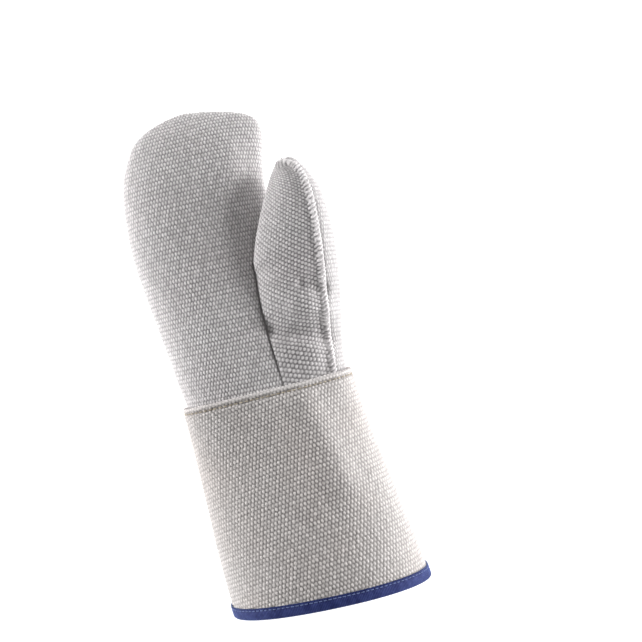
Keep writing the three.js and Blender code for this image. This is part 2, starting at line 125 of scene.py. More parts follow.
CUFF = [
    [0, -70.2, 58.9, 8, 0, 60.4, 23.5, 23.5, 3.2, 3.2, 4.0],
    [0.087, -70.3, 59.8, 7.4, 0, 61.1, 24.4, 24.4, 3.03, 3.03, 3.6],
    [0.15, -70.4, 60.4, 7, 0, 61.6, 25, 25, 2.9, 2.9, 3.3],
    [0.3, -70.7, 62.2, 6, 0, 64.4, 27, 27, 2.5, 2.5, 3.1],
    [0.5, -71.2, 66.4, 5, 0, 70.0, 31, 31, 2.35, 2.35, 2.9],
    [0.7, -71.7, 70.6, 4, 0, 76.0, 34, 34, 2.25, 2.25, 2.8],
    [0.88, -71.4, 73.8, 3, 0, 81.0, 37, 37, 2.2, 2.2, 2.7],
    [0.935, -70.8, 74.6, 3, 1.5, 82.0, 38, 38, 2.2, 2.2, 2.65],
    [1, -70.2, 75.4, 3, 1.5, 83.4, 39, 39, 2.2, 2.2, 2.6],
]
# Dents of the upper faces: x, y, radius along x, radius along y, depth
DENTS = [
    [26, 138, 11, 30, 3.2],
    [-14, 120, 18, 30, 1.6],
]
# Folds along a line, seen from above: start x, start y, end x, end y, width on the left of the
# way, width on its right, depth (below zero for a crest)
FOLDS = [
    [11.7, 17.3, 48.0, 1.5, 11, 5, 5.6],
    [30.0, 30.0, 52.0, 21.0, 8, 7, -2.4],
    [40.0, 45.3, 55.0, 37.5, 6, 6, 3.2],
    [17.1, -35.4, 33.9, -97.8, 15, 27, -6.5],
    [18.0, -106.0, 46.0, -96.0, 10, 11, 2.2],
]
# Seam between palm panel and thumb panel below the fork, seen from above: y, x
PALM_SEAM = [
    [-36, 7.6], [-20.6, 7.8], [-10, 7.4], [4, 6.7], [18, 6.3], [32, 6.3], [46, 6.9],
    [58, 8.2], [70, 9.5],
]
# Ridged seam between thumb panel and back panel, seen from above: y, x
RIDGE = [
    [-36, 47.8], [-20.6, 49.0], [-10, 50.2], [4, 51.8], [18, 54.2], [32, 56.6], [46, 58.9],
    [58, 60.9], [70, 62.6], [82, 63.8], [94, 64.8], [104, 65.3], [112, 64.9], [118.5, 63.8],
    [124, 62.2], [128.4, 60.4], [132, 58.2], [134.8, 56.0], [136.6, 53.8], [137.8, 51.8],
    [138.2, 50.4],
]


def smooth(table):
    """Rows of a table read at any place, on curves that never overshoot between rows."""
    data = np.array(table, float)
    place, value = data[:, 0], data[:, 1:]
    slope = np.diff(value, axis=0) / np.diff(place)[:, None]
    tangent = np.zeros_like(value)
    product = slope[:-1] * slope[1:]
    total = slope[:-1] + slope[1:]
    safe = np.where(total == 0, 1, total)
    tangent[1:-1] = np.where(product > 0, 2 * product / safe, 0)
    tangent[0], tangent[-1] = slope[0], slope[-1]

    def at(p):
        i = int(np.clip(np.searchsorted(place, p) - 1, 0, len(place) - 2))
        h = place[i + 1] - place[i]
        s = float(np.clip((p - place[i]) / h, 0, 1))
        a = 2 * s**3 - 3 * s**2 + 1
        b = s**3 - 2 * s**2 + s
        c = -2 * s**3 + 3 * s**2
        d = s**3 - s**2
        return a * value[i] + b * h * tangent[i] + c * value[i + 1] + d * h * tangent[i + 1]

    return at


hand_at = smooth(HAND)
thumb_table_at = smooth(THUMB)
cuff_at = smooth(CUFF)
ridge_at = smooth(RIDGE)
palm_seam_at = smooth(PALM_SEAM)
LEFT, RIGHT, CROWN, BASE, TOP, LEFT_Z, RIGHT_Z, UP_LEFT, UP_RIGHT, LOW = range(10)


def upper_z(r, x):
    """Height of the upper face of a section at x."""
    side, mid, power = (
        (r[LEFT], r[LEFT_Z], r[UP_LEFT]) if x < r[CROWN] else (r[RIGHT], r[RIGHT_Z], r[UP_RIGHT])
    )
    u = min(1.0, abs((x - r[CROWN]) / (side - r[CROWN])))
    return mid + (r[TOP] - mid) * (1 - u**power) ** (1 / power)


def thumb_at(y):
    """Thumb section; below the fork its left side is led through the palm seam."""
    r = thumb_table_at(y).copy()
    if y < FORK_Y:
        seam_x = palm_seam_at(y)[0]
        seam_z = upper_z(hand_at(y), seam_x)
        share = min(0.999, (seam_z - r[LEFT_Z]) / (r[TOP] - r[LEFT_Z]))
        share = max(0.0, share)
        reach = (r[CROWN] - seam_x) / (1 - share ** r[UP_LEFT]) ** (1 / r[UP_LEFT])
        r[LEFT] = r[CROWN] - reach
    return r


def dent(x, y, share):
    """Depth of the dents and folds; share is the height up the section's side, 0 to 1."""
    total = np.zeros_like(x)
    for cx, cy, rx, ry, depth in DENTS:
        total += depth * np.exp(-(((x - cx) / rx) ** 2) - ((y - cy) / ry) ** 2)
    for x0, y0, x1, y1, left, right, depth in FOLDS:
        length = math.hypot(x1 - x0, y1 - y0)
        dx, dy = (x1 - x0) / length, (y1 - y0) / length
        t = (x - x0) * dx + (y - y0) * dy
        s = (y - y0) * dx - (x - x0) * dy
        past = np.maximum(0, np.maximum(-t, t - length))
        width = np.where(s > 0, left, right)
        total += depth * np.exp(-((s / width) ** 2) - (past / (FOLD_END * length)) ** 2)
    fade = np.clip(share * SIDE_FADE, 0, 1)
    return total * fade * fade * (3 - 2 * fade)


STEP = np.linspace(0, 1, QUARTER_POINTS)
ANGLE = (STEP - np.sin(2 * math.pi * STEP) / (2 * math.pi)) * math.pi / 2


def quarter(r, y, left, upper, grow=0.0):
    """Points of one quarter of a section from its side to its crown."""
    side = r[LEFT] - grow if left else r[RIGHT] + grow
    mid = r[LEFT_Z] if left else r[RIGHT_Z]
    if upper:
        power, rise = (r[UP_LEFT] if left else r[UP_RIGHT]), r[TOP] + grow - mid
    else:
        power, rise = r[LOW], r[BASE] - grow - PRESSED - mid
    up = np.maximum(0, np.sin(ANGLE)) ** (2 / power)
    x = r[CROWN] + (side - r[CROWN]) * np.maximum(0, np.cos(ANGLE)) ** (2 / power)
    z = mid + rise * up
    if upper:
        z = z - dent(x, np.full_like(x, y), up)
    else:
        z = np.maximum(r[BASE] - grow, z)
    return np.stack([x, np.full_like(x, y), z], 1)


def joined(*parts):
    """One line out of lines that meet end to end."""
    line = [parts[0]]
    for part in parts[1:]:
        line.append(part[1:])
    return np.concatenate(line)


def over(r, y, grow=0.0):
    """Upper line of a section, left side to right side."""
    return joined(quarter(r, y, True, True, grow), quarter(r, y, False, True, grow)[::-1])


def under(r, y, grow=0.0):
    """Lower line of a section, left side to right side."""
    return joined(quarter(r, y, True, False, grow), quarter(r, y, False, False, grow)[::-1])


def lengths(line):
    """Distance run at every point of a line."""
    return np.concatenate([[0], np.cumsum(np.linalg.norm(np.diff(line, axis=0), axis=1))])


def points_at(line, run, distances):
    """Points at the given distances along a line."""
    return np.stack([np.interp(distances, run, line[:, k]) for k in range(3)], 1)


# Each of the next functions gives a section's line, the distance run along it, where the cloth
# starts and ends on it, and where its grain line crosses it
def palm_line(y):
    line = over(hand_at(y), y)
    run = lengths(line)
    end = np.interp(palm_seam_at(y)[0], line[:, 0], run) if y < FORK_Y else run[-1]
    zero = np.interp(HAND_GRAIN_X, line[:, 0], run)
    return line, run, 0.0, end, zero


def thumb_line(y):
    r = thumb_at(y)
    line = over(r, y)
    run = lengths(line)
    start = np.interp(palm_seam_at(y)[0], line[:, 0], run) if y < FORK_Y else 0.0
    ridge_x = ridge_at(y)[0]
    end = np.interp(ridge_x, line[:, 0], run)
    return line, run, start, end, np.interp(ridge_x - THUMB_GRAIN_GAP, line[:, 0], run)


def hand_back_line(y):
    line = under(hand_at(y), y)
    run = lengths(line)
    return line, run, 0.0, run[-1], np.interp(HAND_GRAIN_X, line[:, 0], run)


def thumb_back_line(y):
    r = thumb_at(y)
    upper = quarter(r, y, False, True)
    ridge_x = ridge_at(y)[0]
    kept = upper[upper[:, 0] > ridge_x][::-1]
    first = np.array([[ridge_x, y, np.interp(-ridge_x, -upper[:, 0], upper[:, 2])]])
    right = quarter(r, y, False, False)
    left = quarter(r, y, True, False)[::-1]
    line = joined(np.concatenate([first, kept]), right, left)
    run = lengths(line)
    at_side = len(kept)
    return line, run, 0.0, run[-1], run[at_side]


def cuff_rows(profile):
    """Turns (millimetres down from the top edge, growth) into cuff sections."""
    length = CUFF_TOP_Y - CUFF_HEM_Y
    return [(max(0.0, down) / length, min(0.0, down), grow) for down, grow in profile]


def skewed(line, share, extra):
    """A cuff section set at its height, slanting from side to side."""
    y = CUFF_TOP_Y + (CUFF_HEM_Y - CUFF_TOP_Y) * share - extra
    skew = TOP_SKEW + (HEM_SKEW - TOP_SKEW) * share
    line = line.copy()
    line[:, 1] = y + skew * line[:, 0]
    return line


def cuff_line(item, upper):
    share, extra, grow = item
    r = cuff_at(share)
    y = CUFF_TOP_Y + (CUFF_HEM_Y - CUFF_TOP_Y) * share
    line = skewed(over(r, y, grow) if upper else under(r, y, grow), share, extra)
    run = lengths(line)
    return line, run, 0.0, run[-1], np.interp(CUFF_GRAIN_X, line[:, 0], run)


def hash01(a, b):
    """A number from 0 to 1 that looks random and is always the same for the same pair."""
    value = np.sin(a * 127.1 + b * 311.7) * 43758.5453
    return value - np.floor(value)


# Floats of the weave, in floats and rows: half width and how much it varies, half height in
# the thumb and elsewhere, and how much their height and place vary
FLOAT_WIDE = 0.53
FLOAT_VARY = 0.06
FLOAT_TALL = 0.57
THUMB_FLOAT_TALL = 0.51
UNEVEN = 0.34
SHIFT_U = 0.1
SHIFT_V = 0.07
OTHER_DRAW = 7


def beads(u, v, tall):
    """Height of a coarse plain weave from 0 to 1: oval floats in bricked rows. u and v count
    floats and rows."""
    best = np.zeros_like(u)
    row = np.floor(v)
    for dr in (-1, 0, 1):
        r = row + dr
        brick = 0.5 * np.mod(r, 2)
        col = np.floor(u - brick)
        for dc in (0, 1):
            c = col + dc
            lift = 1 - UNEVEN * hash01(c, r)
            wide = FLOAT_WIDE - FLOAT_VARY * hash01(r, c)
            du = u - c - brick - SHIFT_U * (hash01(c + OTHER_DRAW, r) - 0.5)
            dv = v - r - 0.5 - SHIFT_V * (hash01(c, r + OTHER_DRAW) - 0.5)
            d = (du / wide) ** 2 + (dv / tall) ** 2
            best = np.maximum(best, lift * np.sqrt(np.clip(1 - d, 0, 1)))
    return best


class Surface:
    """A smooth skin read at any distance across and along its cloth. Across is counted from
    the grain line of each section, along from the first section."""

    def __init__(self, places, line_at, step=0.4):
        rows = [line_at(p) for p in places]
        self.first = min(-zero for _, _, _, _, zero in rows)
        last = max(run[-1] - zero for _, run, _, _, zero in rows)
        self.step = step
        columns = self.first + np.arange(int((last - self.first) / step) + 2) * step
        self.points = np.zeros((len(rows), len(columns), 3))
        for i, (line, run, start, end, zero) in enumerate(rows):
            self.points[i] = points_at(line, run, np.clip(columns + zero, 0, run[-1]))
        self.start = np.array([start - zero for _, _, start, _, zero in rows])
        self.end = np.array([end - zero for _, _, _, end, zero in rows])
        grain = self.points[:, np.argmin(np.abs(columns))]
        self.along = lengths(grain)
        down, side = np.gradient(self.points, axis=0), np.gradient(self.points, axis=1)
        normal = np.cross(side, down)
        size = np.linalg.norm(normal, axis=2, keepdims=True)
        self.normal = normal / np.maximum(size, TINY)

    def at(self, across, along):
        """Points, normals, distances to both seams and how far a place lies past a seam."""
        row = np.interp(along, self.along, np.arange(len(self.along)))
        i = np.minimum(row.astype(int), len(self.along) - 2)
        f = row - i
        start = self.start[i] * (1 - f) + self.start[i + 1] * f
        end = self.end[i] * (1 - f) + self.end[i + 1] * f
        a = np.clip(across, start, end)
        col = (a - self.first) / self.step
        j = np.clip(col.astype(int), 0, self.points.shape[1] - 2)
        g = (col - j)[..., None]
        f = f[..., None]

        def mix(t):
            near = t[i, j] * (1 - g) + t[i, j + 1] * g
            far = t[i + 1, j] * (1 - g) + t[i + 1, j + 1] * g
            return near * (1 - f) + far * f

        normal = mix(self.normal)
        normal /= np.maximum(np.linalg.norm(normal, axis=-1, keepdims=True), TINY)
        return mix(self.points), normal, a - start, end - a, across - a


def four(flags):
    """Cells whose four corners all have the flag."""
    return flags[:-1, :-1] & flags[:-1, 1:] & flags[1:, :-1] & flags[1:, 1:]


def woven(surface, pitch, per, weave, relief, sign, tall=FLOAT_TALL):
    """Skin whose mesh follows its own weave. weave holds a function that leads from cloth
    distances to the weave and one back; per is the number of steps to a float and to a row;
    sign turns the surface's normal outward."""
    warp, unwarp = weave
    samples = 60
    reach = np.linspace(surface.start.min(), surface.end.max(), samples)
    length = np.linspace(0, surface.along[-1], samples)
    ru, rv = warp(*np.meshgrid(reach, length))
    first_u, last_u = math.floor(ru.min() / pitch[0]) - 1, math.ceil(ru.max() / pitch[0]) + 1
    first_v, last_v = math.floor(rv.min() / pitch[1]) - 1, math.ceil(rv.max() / pitch[1]) + 1
    u = np.arange(first_u, last_u, 1 / per[0])
    v = np.arange(first_v, last_v, 1 / per[1])
    u, v = np.meshgrid(u, v)
    across, along = unwarp(u * pitch[0], v * pitch[1])
    total = surface.along[-1]
    inner = np.clip(along, 0, total)
    points, normal, start_gap, end_gap, past = surface.at(across, inner)
    cells = ~(four(past > 0) | four(past < 0) | four(along > total) | four(along < 0))
    lift, tone = relief(beads(u, v, tall), start_gap, end_gap, inner, points)
    return points, points + normal * sign * lift[..., None], tone, cells


def place(points):
    """Table millimetres to metres about the middle of the part."""
    return (points - MIDDLE) * 0.001


# Places of a cloth's materials in its list: the cloth itself and its thread
WEAVE, THREAD = 0, 1


class Cloth:
    """Gathers skins, linings and threads into one mesh with a tone on every vertex."""

    def __init__(self):
        self.points, self.faces, self.tones, self.marks = [], [], [], []
        self.count = 0

    def add(self, points, faces, tone, mark=WEAVE):
        points = np.asarray(points, float).reshape(-1, 3)
        faces = np.asarray(faces, int)
        used = np.unique(faces)
        again = np.full(len(points), -1)
        again[used] = np.arange(len(used))
        tone = np.broadcast_to(np.asarray(tone, float).reshape(-1), (len(points),))
        self.points.append(points[used])
        self.tones.append(tone[used])
        self.faces.append(again[faces] + self.count)
        self.marks.append(np.full(len(faces), mark))
        self.count += len(used)

    def skin(self, points, cells, tone, flip=False):
        rows, columns = points.shape[:2]
        index = np.arange(rows * columns).reshape(rows, columns)
        quads = np.stack(
            [index[:-1, :-1], index[:-1, 1:], index[1:, 1:], index[1:, :-1]], 2
        )[cells]
        if flip:
            quads = quads[:, ::-1]
        self.add(points.reshape(-1, 3), quads, tone.reshape(-1))

    def whole(self, points, tone, flip=False):
        """A skin with every cell kept; tone is one value or one a point."""
        rows, columns = points.shape[:2]
        every = np.ones((rows - 1, columns - 1), bool)
        self.skin(points, every, np.broadcast_to(tone, (rows, columns)), flip=flip)

    def build(self, name, materials, merge=1e-6):
        mesh = bpy.data.meshes.new(name)
        points = place(np.concatenate(self.points))
        faces = [face for block in self.faces for face in block.tolist()]
        mesh.from_pydata(points.tolist(), [], faces)
        tone = mesh.attributes.new("tone", "FLOAT", "POINT")
        tone.data.foreach_set("value", np.concatenate(self.tones).astype(np.float32))
        for material in materials:
            mesh.materials.append(material)
        mesh.polygons.foreach_set("material_index", np.concatenate(self.marks).astype(np.int32))
        work = bmesh.new()
        work.from_mesh(mesh)
        bmesh.ops.remove_doubles(work, verts=work.verts, dist=merge)
        work.to_mesh(mesh)
        work.free()
        mesh.polygons.foreach_set("use_smooth", np.ones(len(mesh.polygons), bool))
        mesh.update()
        obj = bpy.data.objects.new(name, mesh)
        bpy.context.scene.collection.objects.link(obj)
        return obj


class Body:
    """Sections of a body, for telling what lies inside it."""

    def __init__(self, section_at, first, last):
        self.y = np.linspace(first, last, 500)
        self.rows = np.array([section_at(y) for y in self.y])

    def holds(self, points, margin):
        """Whether each point lies at least the margin below the outer face."""
        least = 0.1
        x, y, z = points[..., 0], points[..., 1], points[..., 2]
        r = [np.interp(y, self.y, self.rows[:, k]) for k in range(10)]
        left = x < r[CROWN]
        reach = np.where(left, r[CROWN] - r[LEFT], r[RIGHT] - r[CROWN]) - margin
        mid = np.where(left, r[LEFT_Z], r[RIGHT_Z])
        upper = z > mid
        power = np.where(upper, np.where(left, r[UP_LEFT], r[UP_RIGHT]), r[LOW])
        rise = np.where(upper, r[TOP] - mid, mid - r[BASE] + PRESSED) - margin
        real = (reach > least) & (rise > least) & (y < self.y[-1] - margin)
        u = np.abs(x - r[CROWN]) / np.maximum(reach, least)
        up = (z - mid) / np.maximum(rise, least)
        sunk = np.where(upper, dent(x, y, np.clip(up, 0, 1)), 0)
        v = np.abs(z + sunk - mid) / np.maximum(rise, least)
        return real & (u**power + v**power < 1) & (z > r[BASE] + margin)


def tip_rows(first, last, top_at, pitch):
    """Rows at even steps along the crown line, so the tips are covered as densely as the rest."""
    fine = np.linspace(first, last, 4000)
    z = np.array([top_at(y)[TOP] for y in fine])
    run = np.concatenate([[0], np.cumsum(np.hypot(np.diff(fine), np.diff(z)))])
    count = int(round(run[-1] / pitch))
    return np.interp(np.linspace(0, run[-1], count + 1), run, fine)


WRIST_END = HAND[0][0]
HAND_END = HAND[-1][0]
THUMB_END = THUMB[-1][0]

# Weaves of the hand, thumb and cuff: distance between floats in a row and between rows
HAND_PITCH = (2.4, 3.2)
THUMB_PITCH = (3.1, 2.85)
CUFF_PITCH = (2.8, 3.05)
# Height of a float, and the height that lies on the cloth's surface
RELIEF = 1.0
LEVEL = 0.75

# The hand's rows bend down towards the right side of the finger tips: where the bend starts
# along and across, over what distance it grows, and by how much
BEND_ALONG, BEND_ALONG_OVER = 144, 34
BEND_ACROSS, BEND_ACROSS_OVER = 18, 38
BEND_BY = 4.7


def hand_bend(across, along):
    turn = np.clip((along - BEND_ALONG) / BEND_ALONG_OVER, 0, 1)
    turn = turn * turn * (3 - 2 * turn)
    bend = BEND_BY * np.clip((across - BEND_ACROSS) / BEND_ACROSS_OVER, 0, 1.2) ** 2 * turn
    return bend + 0.9 * np.sin(across / 31 + 0.4) + 0.6 * np.sin(along / 47 + across / 60)


def hand_warp(across, along):
    return across, along + hand_bend(across, along)


def hand_unwarp(u, v):
    along = v
    for _ in range(4):
        along = v - hand_bend(u, along)
    return u, along


# The thumb's rows fan out from the palm seam: where its weave is counted from, how steeply the
# rows lean, how fast the lean grows for floats and for rows, and their scales
FAN_START = 76.0
FAN_LEAN = 0.58
FAN_FLOATS = 0.0021
FAN_ROWS = 0.0042
FAN_SCALE_U = 0.93
FAN_SCALE_V = 0.86


def thumb_warp(across, along):
    b = along - FAN_START
    u = FAN_SCALE_U * (across - FAN_LEAN * b - FAN_FLOATS * b * b)
    return u, FAN_SCALE_V * (b + across * (FAN_LEAN + FAN_ROWS * b))


def thumb_unwarp(u, v):
    """Found step by step, and held within the thumb's reach."""
    b = v / FAN_SCALE_V
    for _ in range(40):
        across = np.clip(u / FAN_SCALE_U + FAN_LEAN * b + FAN_FLOATS * b * b, -90, 90)
        found = (v / FAN_SCALE_V - FAN_LEAN * across) / (1 + FAN_ROWS * across)
        b = 0.5 * b + 0.5 * np.clip(found, -140, 150)
    return across, b + FAN_START


# The cuff's floats slant, and its rows lean, curve and sway across it
CUFF_SLANT = 0.13
CUFF_LEAN = 0.125
CUFF_CURVE = 0.0006


def cuff_lean(across):
    return across * (CUFF_LEAN - CUFF_CURVE * across)


def cuff_sway(across, along):
    return 0.7 * np.sin(across / 36 + 1.0) + 0.5 * np.sin(along / 33 + across / 80)


def cuff_warp(across, along):
    return across - CUFF_SLANT * along, along + cuff_lean(across) + cuff_sway(across, along)


def cuff_unwarp(u, v):
    along = v
    for _ in range(12):
        across = u + CUFF_SLANT * along
        along = v - cuff_lean(across) - cuff_sway(across, along)
    return u + CUFF_SLANT * along, along


def hump(distance, width, power=2):
    """1 at no distance, falling away on both sides."""
    return np.exp(-((np.abs(distance) / width) ** power))


# Seams draw the cloth in: depth and width of the line and of the hollow round it
LINE_DEPTH, LINE_WIDTH = 0.8, 0.6
HOLLOW_DEPTH, HOLLOW_WIDTH = 0.45, 2.4
SEAM_FADE = 0.9
# Painted shade in the seam's crease: its strength and width
SEAM_SHADE, SEAM_SHADE_WIDTH = 0.9, 1.1
SEAM_STITCH = 2.7


def plain_relief(height, start_gap, end_gap, along, points):
    near = np.minimum(start_gap, end_gap)
    keep = np.clip(near / SEAM_FADE, 0, 1)
    sink = LINE_DEPTH * hump(near, LINE_WIDTH) + HOLLOW_DEPTH * hump(near, HOLLOW_WIDTH)
    # Painted shade along the seam's crease, beaded by the stitches
    stitch = 0.6 + 0.4 * np.cos(2 * math.pi * along / SEAM_STITCH)
    dark = SEAM_SHADE * stitch * hump(near, SEAM_SHADE_WIDTH)
    # Tone follows the float height: painted shade between the floats, painted highlight on their
    # tops
    return (height - LEVEL) * RELIEF * keep - sink, height * (1 - dark)


# The ridge along the thumb's outer seam, by the distance from that seam: its middle and widths
# on either side, the pitch of its puckers, the ragged fringe, the hollow beyond, and the length
# over which it all fades at the tip
RIDGE_MIDDLE = 3.3
RIDGE_INNER, RIDGE_OUTER = 2.6, 2.1
PUCKER_PITCH = 3.4
FRINGE_MIDDLE, FRINGE_WIDTH, FRINGE_HEIGHT = 6.2, 1.3, 1.2
VALLEY_MIDDLE, VALLEY_WIDTH, VALLEY_DEPTH = 10, 4.5, 0.9
RIDGE_FADE = 9
TIP_MARGIN = 0.4
# Painted shade over the whole thumb face, which turns away from the lights, and the width of the
# painted shade along the ridged seam
THUMB_PAINTED_SHADE = 0.77
RIDGE_SHADE_WIDTH = 0.8


def thumb_relief(height, start_gap, end_gap, along, points):
    """Weave with the puckered ridge along the outer seam and its ragged inner edge."""
    lift, tone = plain_relief(height, start_gap, end_gap, along, points)
    fade = np.clip((THUMB_END - TIP_MARGIN - points[..., 1]) / RIDGE_FADE, 0, 1)
    uneven = 0.7 * np.sin(along / 7.3) + 0.5 * np.sin(along / 3.1 + 1)
    stitch = along / PUCKER_PITCH + end_gap * 0.2
    stitch = stitch + 0.15 * np.sin(along / 5) + 0.1 * np.sin(along / 2.2)
    pucker = 0.5 + 0.5 * np.cos(2 * math.pi * stitch)
    middle = RIDGE_MIDDLE + 0.4 * uneven
    ridge = hump(end_gap - middle, np.where(end_gap > middle, RIDGE_INNER, RIDGE_OUTER), 3)
    lift = lift * (1 - 0.4 * ridge) + ridge * (1.6 + 0.9 * pucker + 0.35 * uneven) * fade
    fringe = hump(end_gap - FRINGE_MIDDLE - 0.7 * uneven, FRINGE_WIDTH) * pucker**2
    lift = lift + FRINGE_HEIGHT * fringe * fade
    lift = lift - VALLEY_DEPTH * hump(end_gap - VALLEY_MIDDLE, VALLEY_WIDTH) * fade
    lift = np.where(fade == 0, np.minimum(lift, -0.2), lift)
    # Painted highlight on the ridge, strongest on its puckers, painted shade between the puckers,
    # painted highlight on the fringe
    folded = THUMB_PAINTED_SHADE * tone * (1 - 0.5 * ridge * (1 - pucker)) + ridge * (0.28 + 0.4 * pucker)
    lit = np.clip(folded + 0.7 * fringe, 0, 1)
    # Painted shade in the groove along the ridged seam
    dark = hump(end_gap, RIDGE_SHADE_WIDTH)
    return lift - 0.6 * dark * fade, lit * (1 - 0.8 * dark)


# How much darker the back of the thumb is drawn: painted shade
STRIP_PAINTED_SHADE = 0.78


def strip_relief(height, start_gap, end_gap, along, points):
    """Weave of the back of the thumb, drawn darker as painted shade on its brightly lit side."""
    lift, tone = plain_relief(height, start_gap, end_gap, along, points)
    return lift, STRIP_PAINTED_SHADE * tone


# Tone of the plain inner faces; how deep their corners lie and how deep the rest of them stays
PLAIN_TONE = 0.7
LINING_DEPTH = 2.3
LINING_LEAST = 1.2


def lining(cloth, node):
    """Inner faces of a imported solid, which are those well below the outer faces, and its end
    face at the wrist. Faces that would come near a fold of the skin are left out."""
    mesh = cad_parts[node].data
    points = np.zeros(len(mesh.vertices) * 3)
    mesh.vertices.foreach_get("co", points)
    points = points.reshape(-1, 3) * 1000 + MIDDLE
    corners = np.array([list(face.vertices) for face in mesh.polygons])

    def inside(spots, depth):
        return hand_body.holds(spots, depth) | thumb_body.holds(spots, depth)

    kept = inside(points, LINING_DEPTH)[corners].all(1)
    for share in ((1 / 3, 1 / 3, 1 / 3), (0.5, 0.5, 0), (0, 0.5, 0.5), (0.5, 0, 0.5)):
        spots = (points[corners] * np.array(share)[None, :, None]).sum(1)
        kept &= inside(spots, LINING_LEAST)
    end = points[:, 1] < WRIST_END + 0.1
    cloth.add(points, corners[kept | end[corners].all(1)], PLAIN_TONE)


def even_rows(items, line_at, count=90):
    """Sections with the same number of points from seam to seam."""
    rows = []
    for item in items:
        line, run, start, end, _ = line_at(item)
        rows.append(points_at(line, run, np.linspace(start, end, count)))
    return np.array(rows)


def tube(cloth, path, radius, sides=6, tone=1.0, mark=WEAVE, taper=True):
    """Round thread along a path, closed and drawn in at its ends."""
    path = np.asarray(path, float)
    tangent = np.gradient(path, axis=0)
    tangent /= np.linalg.norm(tangent, axis=1, keepdims=True)
    side = np.cross(tangent, np.array([0.0, 0.0, 1.0]))
    side /= np.maximum(np.linalg.norm(side, axis=1, keepdims=True), TINY)
    other = np.cross(side, tangent)
    turn = np.linspace(0, 2 * math.pi, sides, endpoint=False)
    sizes = np.full(len(path), radius)
    if taper:
        sizes[0] = sizes[-1] = radius * 0.45
    ring = (
        path[:, None]
        + side[:, None] * (np.cos(turn)[None, :, None] * sizes[:, None, None])
        + other[:, None] * (np.sin(turn)[None, :, None] * sizes[:, None, None])
    )
    count = len(path)
    faces = []
    for i in range(count - 1):
        for k in range(sides):
            a, b = i * sides + k, i * sides + (k + 1) % sides
            faces.append([a, b, b + sides, a + sides])
    ends = np.concatenate([ring.reshape(-1, 3), path[:1], path[-1:]])
    cloth.add(ends, faces, tone, mark)
    caps = []
    last = (count - 1) * sides
    for k in range(sides):
        caps.append([(k + 1) % sides, k, count * sides])
        caps.append([last + k, last + (k + 1) % sides, count * sides + 1])
    cloth.add(ends, caps, tone, mark)


# Surface of cloth and thread, and what the tape has of its own
MATT = {
    "Roughness": 0.95, "Specular IOR Level": 0.15, "Sheen Weight": 0.15, "Sheen Roughness": 0.6,
}
SATIN = {
    "Roughness": 0.6, "Sheen Weight": 0.8, "Sheen Roughness": 0.35,
    "Sheen Tint": (0.45, 0.62, 1.0, 1),
}


def cloth_material(name, bright, dark, tint, fibre, cloud=22, own=None):
    """Cloth coloured from dark to bright by its tone, which holds painted shade and highlights,
    with soft clouds of a tint, uneven yarn and fine fibres."""
    material = bpy.data.materials.new(name)
    material.use_nodes = True
    nodes, links = material.node_tree.nodes, material.node_tree.links
    shader = nodes["Principled BSDF"]
    for key, value in {**MATT, **(own or {})}.items():
        shader.inputs[key].default_value = value

    def add(kind, settings, values, sources):
        node = nodes.new(kind)
        for key, value in settings.items():
            setattr(node, key, value)
        for key, value in values.items():
            node.inputs[key].default_value = value
        for key, source in sources.items():
            links.new(source, node.inputs[key])
        return node

    def noise(scale, detail, vector):
        values = {"Scale": scale, "Detail": detail}
        return add("ShaderNodeTexNoise", {}, values, {"Vector": vector}).outputs["Fac"]

    def spread(value, limits):
        return add("ShaderNodeMapRange", {}, limits, {"Value": value}).outputs["Result"]

    def mixed(blend, values, sources):
        settings = {"data_type": "RGBA", "blend_type": blend}
        return add("ShaderNodeMix", settings, values, sources).outputs["Result"]

    where = nodes.new("ShaderNodeTexCoord").outputs["Object"]
    tone = add("ShaderNodeAttribute", {"attribute_name": "tone"}, {}, {}).outputs["Fac"]
    lit = spread(tone, {"From Min": 0.1, "From Max": 0.85})
    shade = mixed("MIX", {"A": (*dark, 1), "B": (*bright, 1)}, {"Factor": lit})
    soft = spread(noise(cloud, 3, where), {"From Min": 0.35, "From Max": 0.7})
    tinted = mixed("MULTIPLY", {"B": (*tint, 1)}, {"Factor": soft, "A": shade})
    yarn = spread(noise(760, 2, where), {"To Min": 0.82, "To Max": 1.14})
    final = mixed("MULTIPLY", {"Factor": 1}, {"A": tinted, "B": yarn})
    links.new(final, shader.inputs["Base Color"])
    along = add("ShaderNodeMapping", {}, {"Scale": (1.0, 0.25, 1.0)}, {"Vector": where})
    hair = noise(fibre, 3, along.outputs["Vector"])
    bump = add("ShaderNodeBump", {}, {"Strength": 0.5, "Distance": 0.0002}, {"Height": hair})
    links.new(bump.outputs["Normal"], shader.inputs["Normal"])
    return material


hand_cloth = cloth_material(
    "hand_cloth", (0.825, 0.797, 0.802), (0.295, 0.284, 0.286), (0.97, 0.955, 0.957), 2400
)
cuff_cloth = cloth_material(
    "cuff_cloth", (0.725, 0.69, 0.677), (0.315, 0.297, 0.291), (0.98, 0.96, 0.95), 2400
)
tape_cloth = cloth_material(
    "hem_tape", (0.05, 0.07, 0.24), (0.008, 0.012, 0.06), (0.4, 0.42, 0.6), 1800, 210, SATIN
)
seam_thread = cloth_material(
    "seam_thread", (0.55, 0.485, 0.38), (0.26, 0.22, 0.16), (0.98, 0.95, 0.9), 3000
)
tape_thread = cloth_material(
    "tape_thread", (0.15, 0.2, 0.42), (0.05, 0.07, 0.2), (0.95, 0.97, 1.0), 3000
)


def finish_piece(obj, slot, *nodes):
    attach(obj, "root")
    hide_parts(*nodes)


hand_body = Body(hand_at, WRIST_END, 194)
thumb_body = Body(thumb_at, WRIST_END, 137.8)
hand_rows = tip_rows(WRIST_END, HAND_END, hand_at, 0.8)
thumb_rows = tip_rows(WRIST_END, THUMB_END, thumb_at, 0.6)
